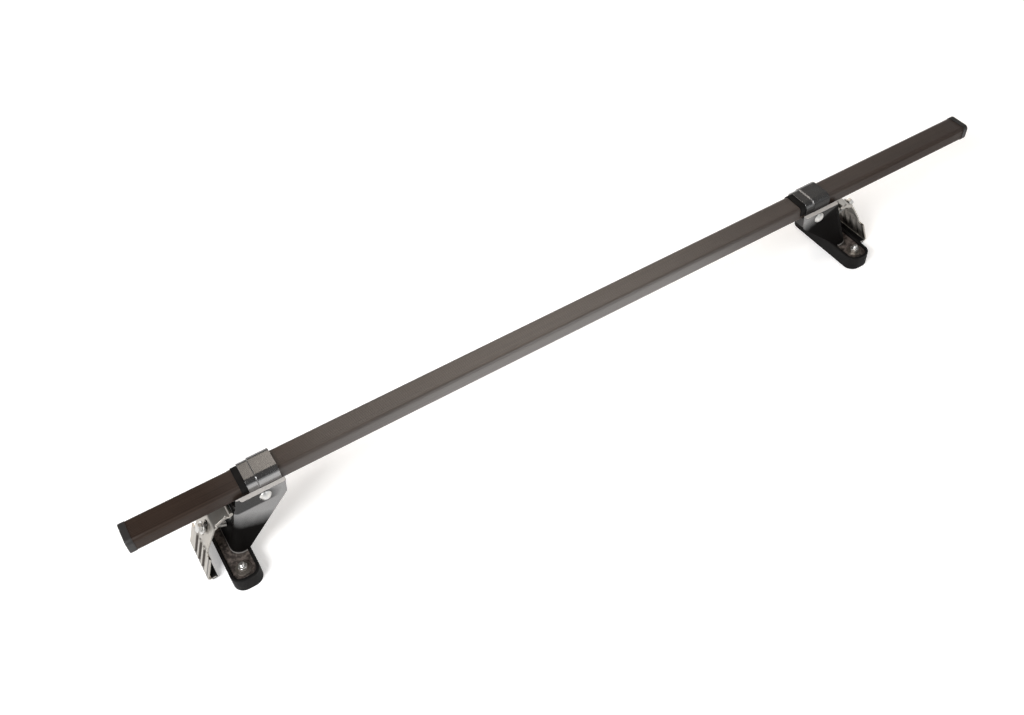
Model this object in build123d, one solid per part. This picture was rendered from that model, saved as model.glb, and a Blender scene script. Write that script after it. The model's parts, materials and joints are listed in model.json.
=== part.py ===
"""Roof rack crossbar: a coated steel bar carried by two clamped feet (millimetres).

X runs along the bar, Y is fore and aft with -Y to the front, Z is up from the roof.
A foot is drawn once, with its outboard side towards +X and the bar's section centred
on X = 0, then set at its place on the bar. The left foot is its mirror image.
"""
from build123d import *
import math
import os

# Bar: rounded rectangular tube with grip grooves on top
bar_length = 1270.0
bar_width = 32.0
bar_height = 22.0
bar_corner = 5.0
bar_wall = 2.0
bar_underside = 99.0
groove_count = 11
groove_pitch = 2.0
groove_width = 0.8
groove_depth = 0.3

# End caps
cap_flange = 5.0
cap_overhang = 0.6
cap_edge = 1.5
cap_plug = 24.0
cap_wall = 2.0
cap_clearance = 0.15

# Where the feet sit: from each end of the bar to the middle of the strap
left_overhang = 163.0
right_overhang = 285.0

# Strap, liner and rest that hold the bar
slide_clearance = 0.2
seat_clearance = 0.1
liner_sheet = 1.2
liner_drop = 13.0
liner_stand_out = 8.0
strap_sheet = 1.7
strap_length = 40.0
strap_step = 1.2
strap_step_length = 27.0
strap_step_drop = 12.0
strap_tail = 7.0
rest_depth = 14.5

# Clamp bolt, across the foot under the bar
clamp_bolt_r = 4.0
clamp_bolt_drop = 6.5
clamp_bolt_x = 5.0
clamp_head_r = 7.5
clamp_head_height = 4.0
clamp_nut_flats = 13.0
clamp_nut_height = 6.5
clamp_washer_r = 8.5
clamp_washer_sheet = 1.6
clamp_bolt_end = 2.5
hole_clearance = 0.25
thread_clearance = 0.05

# Tower: one pressing, two cheeks joined by a leaning outboard web
tower_sheet = 2.0
cheek_rise = 8.0
cheek_lip = 4.0
lip_corner = 3.0
cheek_inboard = 23.0
cheek_shoulder = 20.0
cheek_shoulder_round = 4.0
cheek_foot_gap = 0.5
cheek_foot_setback = 1.0
crease_margin = 2.0
web_top = 42.4
web_lean = 17.2
web_gap = 2.5
tower_top_corner = 6.0
tower_foot_corner = 14.0
tower_foot_half = 30.0
flange_bend = 6.0

# Rubber pad under the tower
pad_length = 129.0
pad_width = 36.5
pad_corner = 14.0
pad_setback = 5.0
pad_floor = 16.0
pad_rim_wall = 4.0
pad_rim_rise = 5.0
pad_rim_round = 1.5
pad_clearance = 0.3
tread_count = 7
tread_pitch = 15.0
tread_width = 4.0
tread_depth = 2.0
tread_end = 4.0

# Studs that hold the pad to the tower
stud_r = 3.0
stud_end = 17.5
stud_head_r = 7.0
stud_head_height = 3.0
stud_recess_r = 8.0
stud_recess_depth = 5.0
stud_stand = 5.0
pad_washer_r = 10.0
pad_washer_sheet = 1.5
pad_nut_flats = 10.0
pad_nut_height = 5.0

# Roof-edge clip: three straight stretches from the rolled edge down to the hook
clip_sheet = 2.2
clip_pivot_drop = 11.0
clip_roll_r = 2.6
clip_seat_gap = 0.3
clip_end_length = 27.0
clip_end_angle = 28.0
clip_slot_length = 31.0
clip_slot_angle = 60.0
clip_rib_length = 47.0
clip_rib_angle = 69.7
clip_lip_length = 11.0
clip_lip_angle = 172.0
clip_bend = 5.0
clip_hook_bend = 3.0
clip_width = 61.0
clip_neck_width = 41.0
clip_wing_length = 36.0
clip_wing_round = 3.0
clip_flange_height = 5.0
rib_count = 3
rib_pitch = 12.0
rib_width = 6.5
rib_height = 1.8
rib_end_margin = 6.0
rib_draft = 25.0
slot_width = 7.0
slot_length = 24.0
sleeve_wall = 1.2
sleeve_clearance = 0.05

# Tension bolt, its domed washer and the swivel nut behind the web
tension_bolt_r = 3.0
tension_head_flats = 10.0
tension_head_height = 5.0
tension_bolt_tail = 14.0
dome_washer_r = 8.0
dome_radius = 12.0
dome_gap = 0.65
dome_rim = 1.2
swivel_nut_r = 6.0
swivel_nut_length = 24.0

# Levels and half widths that follow from the sizes above
bar_top = bar_underside + bar_height
bar_middle = bar_underside + bar_height / 2
tube_length = bar_length - 2 * cap_flange
liner_half = bar_width / 2 + slide_clearance
strap_half = liner_half + liner_sheet + seat_clearance
strap_outer = strap_half + strap_sheet
cheek_half = strap_outer + seat_clearance
cheek_outer = cheek_half + tower_sheet
cheek_top = bar_underside + cheek_rise
clamp_z = bar_underside - clamp_bolt_drop
crease_z = clamp_z - clamp_head_r - crease_margin
flange_top = pad_floor + tower_sheet
web_slope = math.tan(math.radians(web_lean))
foot_x = {"left": -(bar_length / 2 - left_overhang), "right": bar_length / 2 - right_overhang}
cavity_width = pad_width - 2 * pad_rim_wall
cavity_length = pad_length - 2 * pad_rim_wall
cavity_corner = pad_corner - pad_rim_wall


def web_x(z):
    """Outer face of the tower's web at height z."""
    return web_top + (bar_underside - z) * web_slope


# The pad keeps its place under the web, the tower's foot lines up with the plate in the pad,
# and the cheeks' slanted edges end over the pad's inboard rim, above the bend at the foot
pad_centre = web_x(flange_top) - pad_setback
pad_rim_top = pad_floor + pad_rim_rise
tower_foot_inboard = pad_centre - cavity_width / 2 + pad_clearance
cheek_foot_inboard = pad_centre - pad_width / 2 + cheek_foot_setback
cheek_foot_z = max(pad_rim_top, flange_top + flange_bend) + cheek_foot_gap
stud_places = [(pad_centre, side * (pad_length / 2 - stud_end)) for side in (-1, 1)]


def step_from(point, length, angle):
    """The point a length away, at an angle below the outboard direction."""
    turn = math.radians(angle)
    return (point[0] + length * math.cos(turn), point[1] - length * math.sin(turn))


# Corners of the clip's middle line, in X and Z, from the rolled edge to the hook's tip
pivot_z = bar_underside - clip_pivot_drop
pivot_x = web_x(pivot_z) + (clip_roll_r + clip_seat_gap) / math.cos(math.radians(web_lean))
clip_pivot = (pivot_x, pivot_z)
clip_knee = step_from(clip_pivot, clip_end_length, clip_end_angle)
clip_waist = step_from(clip_knee, clip_slot_length, clip_slot_angle)
clip_heel = step_from(clip_waist, clip_rib_length, clip_rib_angle)
clip_tip = step_from(clip_heel, clip_lip_length, -clip_lip_angle)

# The sleeve covers the straight part of the lip, from its tip to where the hook's bend starts
hook_turn = math.radians(360 - clip_rib_angle - clip_lip_angle)
sleeve_reach = clip_lip_length - clip_hook_bend * math.tan(hook_turn / 2) - sleeve_clearance

# The tension bolt's line: square to the slotted stretch, through the middle of its slot
slot_turn = math.radians(clip_slot_angle)
slot_middle = ((clip_knee[0] + clip_waist[0]) / 2, (clip_knee[1] + clip_waist[1]) / 2)
bolt_out = (math.sin(slot_turn), math.cos(slot_turn))
swivel_depth = (
    slot_middle[0] - web_x(slot_middle[1]) + tower_sheet
    + (swivel_nut_r + seat_clearance) / math.cos(math.radians(web_lean))
) / (bolt_out[0] + bolt_out[1] * web_slope)
bolt_plane = Plane(
    origin=(slot_middle[0], 0, slot_middle[1]), x_dir=(0, 1, 0), z_dir=(bolt_out[0], 0, bolt_out[1])
)


def rounded_block(length_x, length_y, low, high, corner):
    """An upright block with rounded corners between two levels."""
    face = RectangleRounded(length_x, length_y, corner)
    return Pos(0, 0, low) * extrude(face, amount=high - low)


def cross_bore(radius, x, z):
    """A bore right across the foot, along Y."""
    return Pos(x, 0, z) * Rot(90, 0, 0) * Cylinder(radius, 4 * tower_foot_half)


def hexagon(flats, height):
    """A hexagonal prism standing on the origin."""
    return extrude(RegularPolygon(flats / 2, 6, major_radius=False), amount=height)


def tube(outer, inner, height):
    """A round ring standing on the origin."""
    return extrude(Circle(outer) - Circle(inner), amount=height)


def dome(radius, height):
    """A round bolt head, part of a ball, standing on the origin."""
    ball = (radius ** 2 + height ** 2) / (2 * height)
    half_turn = math.asin(radius / ball) / 2
    middle = (ball * math.sin(half_turn), height - ball + ball * math.cos(half_turn))
    profile = make_face([
        Line((0, 0), (radius, 0)),
        ThreePointArc((radius, 0), middle, (0, height)),
        Line((0, height), (0, 0)),
    ])
    return revolve(Plane.XZ * profile, Axis.Z)


def bar_section(grow):
    """The bar's outline, grown or shrunk all round, on the plane across the bar."""
    return RectangleRounded(bar_width + 2 * grow, bar_height + 2 * grow, bar_corner + grow)


def along_bar(section, start, length):
    """A section across the bar carried along it."""
    across_bar = Plane(origin=(start, 0, bar_middle), x_dir=(0, 1, 0), z_dir=(1, 0, 0))
    return across_bar * extrude(section, amount=length)


def crossbar_tube():
    section = bar_section(0)
    first = -(groove_count - 1) / 2
    groove = Rectangle(groove_width, 2 * groove_depth)
    for number in range(groove_count):
        section -= Pos((first + number) * groove_pitch, bar_height / 2) * groove
    section -= bar_section(-bar_wall)
    return along_bar(section, -tube_length / 2, tube_length)


def end_cap():
    """The cap of the right-hand end."""
    flange = along_bar(bar_section(cap_overhang), tube_length / 2, cap_flange)
    flange = fillet(flange.faces().sort_by(Axis.X)[-1].edges(), cap_edge)
    plug_grow = -bar_wall - cap_clearance
    plug = bar_section(plug_grow) - bar_section(plug_grow - cap_wall)
    return flange + along_bar(plug, tube_length / 2 - cap_plug, cap_plug)


def arch(inner_grow, sheet, start, length, foot):
    """A sheet bent over the bar, with straight legs down to the level foot."""
    outer_grow = inner_grow + sheet
    drop = bar_middle - foot
    leg = Pos(0, -drop / 2) * Rectangle(bar_width + 2 * outer_grow, drop)
    inner_leg = Pos(0, -drop / 2) * Rectangle(bar_width + 2 * inner_grow, drop)
    upper = Pos(0, bar_height) * Rectangle(4 * bar_width, 2 * bar_height)
    section = (bar_section(outer_grow) & upper) + leg - (bar_section(inner_grow) & upper) - inner_leg
    return along_bar(section, start, length)


def strap_liner():
    return arch(
        slide_clearance, liner_sheet, -strap_length / 2 - liner_stand_out,
        strap_length + liner_stand_out, bar_top - liner_drop,
    )


def bar_strap():
    """The strap over the bar, with an oblong hole so that it suits the bolt of either foot."""
    inner = strap_half - bar_width / 2
    strap = arch(inner, strap_sheet, -strap_length / 2, strap_length, clamp_z - strap_tail)
    raised = arch(
        inner, strap_sheet + strap_step, strap_length / 2 - strap_step_length, strap_step_length,
        bar_top - strap_step_drop,
    )
    hole = SlotCenterToCenter(2 * clamp_bolt_x, 2 * (clamp_bolt_r + hole_clearance))
    hole = extrude(Plane.XZ * Pos(0, clamp_z) * hole, amount=2 * strap_outer, both=True)
    return strap + raised - hole


def bar_rest():
    width = 2 * (strap_half - seat_clearance)
    top = bar_underside - slide_clearance
    block = Pos(0, 0, top - rest_depth / 2) * Box(strap_length, width, rest_depth)
    return block - cross_bore(clamp_bolt_r + hole_clearance, clamp_bolt_x, clamp_z)


def tower_outline(z, inset):
    """Plan of the tower at height z: a long U whose closed, round-cornered end is the web."""
    fall = (crease_z - z) / (crease_z - pad_floor)
    half = cheek_outer + max(fall, 0) * (tower_foot_half - cheek_outer) - inset
    rise = (z - pad_floor) / (cheek_top - pad_floor)
    corner = tower_foot_corner + rise * (tower_top_corner - tower_foot_corner) - inset
    out = web_x(z) - inset
    back = -2 * cheek_inboard
    bevel = corner * (1 - math.sqrt(0.5))
    return Pos(0, 0, z) * make_face([
        Line((back, -half), (out - corner, -half)),
        ThreePointArc((out - corner, -half), (out - bevel, -half + bevel), (out, -half + corner)),
        Line((out, -half + corner), (out, half - corner)),
        ThreePointArc((out, half - corner), (out - bevel, half - bevel), (out - corner, half)),
        Line((out - corner, half), (back, half)),
        Line((back, half), (back, -half)),
    ])


def tower_block(inset, beyond):
    """The tower's outer or inner form, from its foot through the crease to its top."""
    levels = (pad_floor - beyond, crease_z, cheek_top + beyond)
    return loft([tower_outline(z, inset) for z in levels], ruled=True)


def tower():
    body = tower_block(0, 0)
    slant = make_face(Polyline(
        (-4 * cheek_inboard, 2 * bar_top), (-cheek_inboard, 2 * bar_top), (-cheek_inboard, cheek_top),
        (-cheek_shoulder, crease_z), (cheek_foot_inboard, cheek_foot_z), (tower_foot_inboard, cheek_foot_z),
        (tower_foot_inboard, -bar_top), (-4 * cheek_inboard, -bar_top), close=True,
    ))
    shoulder = slant.vertices().sort_by_distance((-cheek_shoulder, crease_z))[0]
    slant = fillet(shoulder, cheek_shoulder_round)
    body -= extrude(Plane.XZ * slant, amount=4 * tower_foot_half, both=True)
    body += Pos(pad_centre, 0, 0) * rounded_block(
        cavity_width - 2 * pad_clearance, cavity_length - 2 * pad_clearance,
        pad_floor, flange_top, cavity_corner - pad_clearance,
    )
    bend = [
        edge for edge in body.edges().filter_by_position(Axis.Z, flange_top, flange_top)
        if abs(edge.center().Y) < tower_foot_half and edge.center().X < web_x(flange_top) + seat_clearance
        and edge.center().X > tower_foot_inboard + seat_clearance
    ]
    body = fillet(bend, flange_bend)
    body -= tower_block(tower_sheet, 2 * tower_sheet)
    bar_way = Box(4 * web_top, 2 * cheek_half, 2 * bar_height)
    body -= Pos(0, 0, bar_underside - web_gap + bar_height) * bar_way
    lip_length = cheek_inboard + web_x(cheek_top) - tower_top_corner
    lip_width = cheek_lip + tower_sheet
    lip = Box(lip_length, lip_width, tower_sheet)
    lip_bend = lip.edges().filter_by(Axis.X).group_by(Axis.Z)[-1].sort_by(Axis.Y)[0]
    lip = fillet(lip_bend, tower_sheet - seat_clearance)
    lip = fillet(lip.edges().filter_by(Axis.Z).group_by(Axis.Y)[-1], lip_corner)
    lip = Pos(lip_length / 2 - cheek_inboard, cheek_half + lip_width / 2, cheek_top - tower_sheet / 2) * lip
    body += lip
    body += mirror(lip, about=Plane.XZ)
    body -= cross_bore(clamp_bolt_r + hole_clearance, clamp_bolt_x, clamp_z)
    bolt_hole = Cylinder(tension_bolt_r + 2 * hole_clearance, swivel_depth)
    body -= bolt_plane * Pos(0, 0, -swivel_depth / 2) * bolt_hole
    for x, y in stud_places:
        body -= Pos(x, y, flange_top) * Cylinder(stud_r + hole_clearance, 4 * tower_sheet)
    return body


def foot_pad():
    pad = rounded_block(pad_width, pad_length, 0, pad_rim_top, pad_corner)
    pad -= rounded_block(cavity_width, cavity_length, pad_floor, 2 * pad_rim_top, cavity_corner)
    pad = fillet(pad.faces().sort_by(Axis.Z)[-1].edges(), pad_rim_round)
    first = -(tread_count - 1) / 2
    tread = Box(pad_width - 2 * tread_end, tread_width, 2 * tread_depth)
    for number in range(tread_count):
        pad -= Pos(0, (first + number) * tread_pitch, 0) * tread
    pad = Pos(pad_centre, 0, 0) * pad
    for x, y in stud_places:
        pad -= Pos(x, y, 0) * Cylinder(stud_recess_r, 2 * stud_recess_depth)
        pad -= Pos(x, y, pad_floor) * Cylinder(stud_r + hole_clearance, 2 * pad_floor)
    return pad


def at_studs(piece, z):
    """One copy of a piece at each stud."""
    return [Pos(x, y, z) * piece for x, y in stud_places]


def pad_studs():
    nut_top = flange_top + pad_washer_sheet + pad_nut_height
    shank = nut_top + stud_stand - stud_recess_depth
    stud = Pos(0, 0, stud_recess_depth) * extrude(Circle(stud_r), amount=shank)
    stud = chamfer(stud.faces().sort_by(Axis.Z)[-1].edges(), stud_r / 4)
    head = Pos(0, 0, stud_recess_depth) * Rot(180, 0, 0) * dome(stud_head_r, stud_head_height)
    return at_studs(stud + head, 0)


def pad_washers():
    return at_studs(tube(pad_washer_r, stud_r + hole_clearance, pad_washer_sheet), flange_top)


def pad_nuts():
    nut = hexagon(pad_nut_flats, pad_nut_height) - Cylinder(stud_r + thread_clearance, 4 * pad_nut_height)
    return at_studs(nut, flange_top + pad_washer_sheet)


def across(piece, y):
    """A piece that stands on the origin, turned to point to the rear and set on the clamp bolt's line."""
    return Pos(clamp_bolt_x, y, clamp_z) * Rot(-90, 0, 0) * piece


def clamp_bolt():
    length = 2 * cheek_outer + clamp_washer_sheet + clamp_nut_height + clamp_bolt_end
    shank = extrude(Circle(clamp_bolt_r), amount=length)
    shank = chamfer(shank.faces().sort_by(Axis.Z)[-1].edges(), clamp_bolt_r / 4)
    head = Rot(180, 0, 0) * dome(clamp_head_r, clamp_head_height)
    return across(shank + head, -cheek_outer)


def clamp_washer():
    return across(tube(clamp_washer_r, clamp_bolt_r + hole_clearance, clamp_washer_sheet), cheek_outer)


def clamp_nut():
    nut = hexagon(clamp_nut_flats, clamp_nut_height)
    nut -= Cylinder(clamp_bolt_r + thread_clearance, 4 * clamp_nut_height)
    return across(nut, cheek_outer + clamp_washer_sheet)


def clip_strip(points, bends, width):
    """A sheet of even thickness along a bent middle line in X and Z, centred on Y = 0."""
    line = FilletPolyline(*points, radius=bends)
    profile = trace(line, clip_sheet)
    return extrude(Plane.XZ * profile, amount=width / 2, both=True)


def on_rib_plate(along, out):
    """A plane on the ribbed stretch, x up the plate from the heel, z out of its outer face."""
    turn = math.radians(clip_rib_angle)
    up = (-math.cos(turn), math.sin(turn))
    normal = (math.sin(turn), math.cos(turn))
    x = clip_heel[0] + along * up[0] + out * normal[0]
    z = clip_heel[1] + along * up[1] + out * normal[1]
    return Plane(origin=(x, 0, z), x_dir=(up[0], 0, up[1]), z_dir=(normal[0], 0, normal[1]))


def roof_clip():
    bends = [clip_bend, clip_bend, clip_hook_bend]
    clip = clip_strip([clip_pivot, clip_knee, clip_waist, clip_heel, clip_tip], bends, clip_width)
    trim_width = (clip_width - clip_neck_width) / 2
    trim_length = 3 * clip_rib_length
    trim = RectangleRounded(trim_length, 2 * trim_width, clip_wing_round)
    trim = extrude(trim, amount=trim_length, both=True)
    for side in (-1, 1):
        beside = Pos(0, side * clip_width / 2, 0) * trim
        clip -= on_rib_plate(clip_wing_length + trim_length / 2, 0) * beside
    rolled = Pos(clip_pivot[0], 0, clip_pivot[1]) * Rot(90, 0, 0) * Cylinder(clip_roll_r, clip_neck_width)
    clip += rolled
    clip += end_flanges()
    rib_length = clip_rib_length - 2 * rib_end_margin
    taper = 2 * rib_height * math.tan(math.radians(rib_draft))
    rib = extrude(SlotOverall(rib_length, rib_width), amount=rib_height, taper=rib_draft)
    hollow = extrude(SlotOverall(rib_length - taper, rib_width - taper), amount=rib_height, taper=rib_draft)
    first = -(rib_count - 1) / 2
    for number in range(rib_count):
        y = (first + number) * rib_pitch
        clip += on_rib_plate(clip_rib_length / 2, clip_sheet / 2) * Pos(0, y, 0) * rib
        clip -= on_rib_plate(clip_rib_length / 2, -clip_sheet / 2) * Pos(0, y, 0) * hollow
    slot = Rot(0, 0, 90) * SlotOverall(slot_length, slot_width)
    return clip - bolt_plane * extrude(slot, amount=2 * clip_sheet, both=True)


def end_flanges():
    """The turned-up sides of the clip's upper stretch."""
    turn = math.radians(clip_end_angle)
    plane = Plane(
        origin=(clip_pivot[0], 0, clip_pivot[1]), x_dir=(0, 1, 0), z_dir=(math.sin(turn), 0, math.cos(turn))
    )
    height = clip_flange_height + clip_sheet / 2
    length = clip_end_length - 2 * clip_bend
    side = Box(clip_sheet, length, height)
    side = Pos((clip_neck_width - clip_sheet) / 2, -clip_end_length / 2, height / 2) * side
    return plane * (side + mirror(side, about=Plane.YZ))


def hook_sleeve():
    """A soft sleeve pushed over the hook's lip."""
    turn = math.radians(clip_lip_angle)
    inward = (math.cos(turn), math.sin(turn))
    plane = Plane(origin=(clip_tip[0], 0, clip_tip[1]), x_dir=(inward[0], 0, inward[1]), z_dir=(0, -1, 0))
    inner = clip_sheet + 2 * sleeve_clearance
    outer = inner + 2 * sleeve_wall
    section = RectangleRounded(sleeve_reach + sleeve_wall, outer, sleeve_wall / 2)
    section = Pos((sleeve_wall - sleeve_reach) / 2, 0) * section
    section -= Pos(sleeve_clearance - sleeve_reach, 0) * Rectangle(2 * sleeve_reach, inner)
    return plane * extrude(section, amount=clip_width / 2, both=True)


def dome_sag(radius):
    """How far the washer's round back has risen at a radius from its lowest point."""
    return dome_radius - math.sqrt(dome_radius ** 2 - radius ** 2)


dome_low = clip_sheet / 2 + dome_gap - dome_sag(slot_width / 2)
dome_top = dome_low + dome_sag(dome_washer_r) + dome_rim


def dome_washer():
    """A washer whose round back seats on the sides of the slot, so that the clip can tilt under it."""
    ball = Pos(0, 0, dome_low + dome_radius) * Sphere(dome_radius)
    disc = Pos(0, 0, dome_low) * extrude(Circle(dome_washer_r), amount=dome_top - dome_low)
    bore = Cylinder(tension_bolt_r + hole_clearance, 8 * dome_radius)
    return bolt_plane * ((ball & disc) - bore)


def tension_bolt():
    tail = swivel_depth + swivel_nut_r + tension_bolt_tail
    shank = Pos(0, 0, -tail) * extrude(Circle(tension_bolt_r), amount=tail + dome_top)
    shank = chamfer(shank.faces().sort_by(Axis.Z)[0].edges(), tension_bolt_r / 4)
    head = Pos(0, 0, dome_top) * hexagon(tension_head_flats, tension_head_height)
    return bolt_plane * (shank + head)


def swivel_nut():
    nut = Rot(0, 90, 0) * Cylinder(swivel_nut_r, swivel_nut_length)
    nut -= Cylinder(tension_bolt_r + thread_clearance, 4 * swivel_nut_r)
    return bolt_plane * Pos(0, 0, -swivel_depth) * nut


def save(name, *pieces):
    """Write one node: a single solid, or a group of like ones."""
    shape = pieces[0] if len(pieces) == 1 else Compound(children=list(pieces))
    export_step(shape, os.path.join("parts", name + ".step"))


mirrored_pieces = (
    tower, bar_rest, clamp_bolt, clamp_washer, clamp_nut, foot_pad, pad_studs, pad_washers, pad_nuts,
    roof_clip, hook_sleeve, dome_washer, tension_bolt, swivel_nut,
)
same_way_pieces = (bar_strap, strap_liner)


def build_bar():
    save("crossbar_tube", crossbar_tube())
    cap = end_cap()
    save("right_end_cap", cap)
    save("left_end_cap", mirror(cap, about=Plane.YZ))


def build_feet():
    for piece in mirrored_pieces:
        made = piece()
        group = made if isinstance(made, list) else [made]
        turned = [mirror(one, about=Plane.YZ) for one in group]
        save("right_" + piece.__name__, *[Pos(foot_x["right"], 0, 0) * one for one in group])
        save("left_" + piece.__name__, *[Pos(foot_x["left"], 0, 0) * one for one in turned])
    for piece in same_way_pieces:
        made = piece()
        for side, x in foot_x.items():
            save(side + "_" + piece.__name__, Pos(x, 0, 0) * made)


os.makedirs("parts", exist_ok=True)
build_bar()
build_feet()
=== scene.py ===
import json
import math

import bmesh
import bpy
import numpy as np
from mathutils import Matrix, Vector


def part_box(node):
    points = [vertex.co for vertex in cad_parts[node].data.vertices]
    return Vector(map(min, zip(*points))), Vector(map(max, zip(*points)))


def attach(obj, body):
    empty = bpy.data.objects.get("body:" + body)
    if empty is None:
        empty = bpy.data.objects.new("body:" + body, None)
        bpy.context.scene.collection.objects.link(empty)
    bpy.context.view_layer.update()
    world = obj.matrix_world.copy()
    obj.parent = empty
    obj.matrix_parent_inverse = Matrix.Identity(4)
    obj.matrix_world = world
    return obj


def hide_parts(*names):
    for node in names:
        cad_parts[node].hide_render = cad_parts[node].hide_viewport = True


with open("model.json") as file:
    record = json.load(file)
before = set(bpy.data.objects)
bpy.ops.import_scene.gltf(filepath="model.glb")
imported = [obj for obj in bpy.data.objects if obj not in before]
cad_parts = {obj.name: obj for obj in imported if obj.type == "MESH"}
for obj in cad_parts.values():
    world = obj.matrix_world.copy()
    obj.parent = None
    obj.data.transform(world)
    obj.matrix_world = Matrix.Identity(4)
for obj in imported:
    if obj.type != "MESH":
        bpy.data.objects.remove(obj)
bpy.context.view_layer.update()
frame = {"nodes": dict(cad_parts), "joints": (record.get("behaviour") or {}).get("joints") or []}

# Crossbar: one length of rectangular steel tube with round corners and shallow grip grooves along its top.
# The tube is rolled and seam welded, sawn to length and powder coated in a satin brown-black.
# Sizes here and below are in millimetres, except that the places in a finish are in metres.
MM = 0.001
merge_distance = 0.002


def corners(node):
    """A CAD node's lowest and highest corners, in millimetres."""
    return [np.array(corner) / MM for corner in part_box(node)]


bar_low, bar_high = corners("crossbar_tube")
bar_start, bar_end = bar_low[0], bar_high[0]
bar_middle = (bar_low[2] + bar_high[2]) / 2
bar_half_width = bar_high[1]
bar_half_height = bar_high[2] - bar_middle
bar_corner = 5.0
bar_wall = 2.0
bar_broken_edge = 0.35
bar_edge_turn = np.radians([30, 60, 90])
bar_stations = 43
ring_top = np.linspace(-1, 1, 9)
ring_side = np.linspace(-1, 1, 5)[1:-1]
ring_turn = np.radians(np.linspace(0, 90, 8))
groove_places = np.arange(-5, 6) * 2.0
groove_width = 0.8
groove_depth = 0.3
groove_columns = np.array([-1.2, -0.85, -0.5, 0, 0.5, 0.85, 1.2])
groove_rim, groove_slope = 1.15, 0.4
coat_dark = (0.0155, 0.0085, 0.0060)
coat_light = (0.033, 0.0205, 0.0140)
coat_tones = (0.35, 0.65)
coat_roughness, coat_unevenness = 0.36, 0.16
coat_relief = 0.05
streak_size, streak_stretch = 1.3, (160, 1, 1)
streak_share, streak_height = 0.7, 0.5
coat_cloud, cloud_stretch = 40, (3, 1, 1)
coat_speck = 0.35
# Painted shade: where the bar's ends are dulled to darken them, and how far.
end_shade_left = (-0.38, -0.54)
end_shade_right = (0.15, 0.45)
end_shade_most = 0.9
front_face = (-0.0130, -0.0155)
# Painted sheen: where the front face between the feet gets a clear coat, and how much.
sheen_from, sheen_to = (-0.38, -0.22), (0.26, 0.10)
sheen_most = 0.6


class Wire:
    """A value on its way through a finish's nodes: arithmetic on it adds Math nodes."""

    def __init__(self, finish, socket):
        self.finish = finish
        self.socket = socket

    def operate(self, operation, first, second):
        return self.finish.node("ShaderNodeMath", {"operation": operation}, {0: first, 1: second})

    def __add__(self, other):
        return self.operate("ADD", self, other)

    def __sub__(self, other):
        return self.operate("SUBTRACT", self, other)

    def __rsub__(self, other):
        return self.operate("SUBTRACT", other, self)

    def __mul__(self, other):
        return self.operate("MULTIPLY", self, other)

    __radd__ = __add__
    __rmul__ = __mul__


class Finish:
    """One surface finish: a material, or the world. Its constants sit on its shader and its nodes feed it."""

    def __init__(self, owner, shader="Principled BSDF", **constants):
        owner.use_nodes = True
        self.owner = owner
        self.tree = owner.node_tree
        self.shader = self.tree.nodes[shader]
        for socket, value in constants.items():
            self.shader.inputs[socket.replace("_", " ")].default_value = value

    def node(self, kind, settings, sockets, output=0):
        """A node of a kind: its settings, then its sockets' values or links."""
        made = self.tree.nodes.new(kind)
        for key, value in settings.items():
            setattr(made, key, value)
        for key, value in sockets.items():
            self.feed(made.inputs[key], value)
        return Wire(self, made.outputs[output])

    def feed(self, socket, value):
        if isinstance(value, Wire):
            self.tree.links.new(value.socket, socket)
        else:
            socket.default_value = value

    def grain(self, size, stretch=(1, 1, 1), detail=3):
        """Noise whose cells are about a size in millimetres, drawn out along the axes by a stretch."""
        place = self.node("ShaderNodeTexCoord", {}, {}, "Object")
        scale = [1 / (size * MM * axis) for axis in stretch]
        place = self.node("ShaderNodeMapping", {}, {"Vector": place, "Scale": scale})
        return self.node("ShaderNodeTexNoise", {}, {"Vector": place, "Scale": 1.0, "Detail": detail})

    def place(self, axis):
        """A coordinate of the object's own space, in metres."""
        place = self.node("ShaderNodeTexCoord", {}, {}, "Object")
        return self.node("ShaderNodeSeparateXYZ", {}, {0: place}, axis)

    def mask(self, value, low, high):
        """Nought where a value is at low, one at high, and even between. Low may be the larger."""
        return self.node("ShaderNodeMapRange", {}, {"Value": value, "From Min": low, "From Max": high})

    def most(self, first, second):
        """The larger of two values."""
        return self.node("ShaderNodeMath", {"operation": "MAXIMUM"}, {0: first, 1: second})

    def blend(self, share, first, second):
        """Colour that goes from the first to the second as share goes from nought to one."""
        colours = [(*colour, 1) if isinstance(colour, tuple) else colour for colour in (first, second)]
        sockets = {0: share, 6: colours[0], 7: colours[1]}
        return self.node("ShaderNodeMix", {"data_type": "RGBA"}, sockets, 2)

    def relief(self, height, depth, edge=0.0):
        """A normal with relief of a depth in millimetres, and sharp corners rounded off by an edge radius."""
        sockets = {"Height": height, "Distance": depth * MM}
        if edge:
            sockets["Normal"] = self.node("ShaderNodeBevel", {"samples": 4}, {"Radius": edge * MM})
        return self.node("ShaderNodeBump", {}, sockets)

    def show(self, **looks):
        """Feeds the shader's sockets by name and hands over the material or world."""
        for socket, value in looks.items():
            self.feed(self.shader.inputs[socket.replace("_", " ")], value)
        return self.owner

    def dull_by(self, share, specular=0.1, **looks):
        """Mixes in a shader of dull looks by a share. It darkens surfaces as painted shade; on the towers it
        also carries dust, and greys that are painted highlights.
        """
        sockets = {socket.replace("_", " "): value for socket, value in looks.items()}
        dull = self.node("ShaderNodeBsdfPrincipled", {}, {"Specular IOR Level": specular, **sockets})
        glossy = Wire(self, self.shader.outputs[0])
        mixed = self.node("ShaderNodeMixShader", {}, {0: share, 1: glossy, 2: dull})
        self.feed(self.tree.nodes["Material Output"].inputs["Surface"], mixed)


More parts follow.
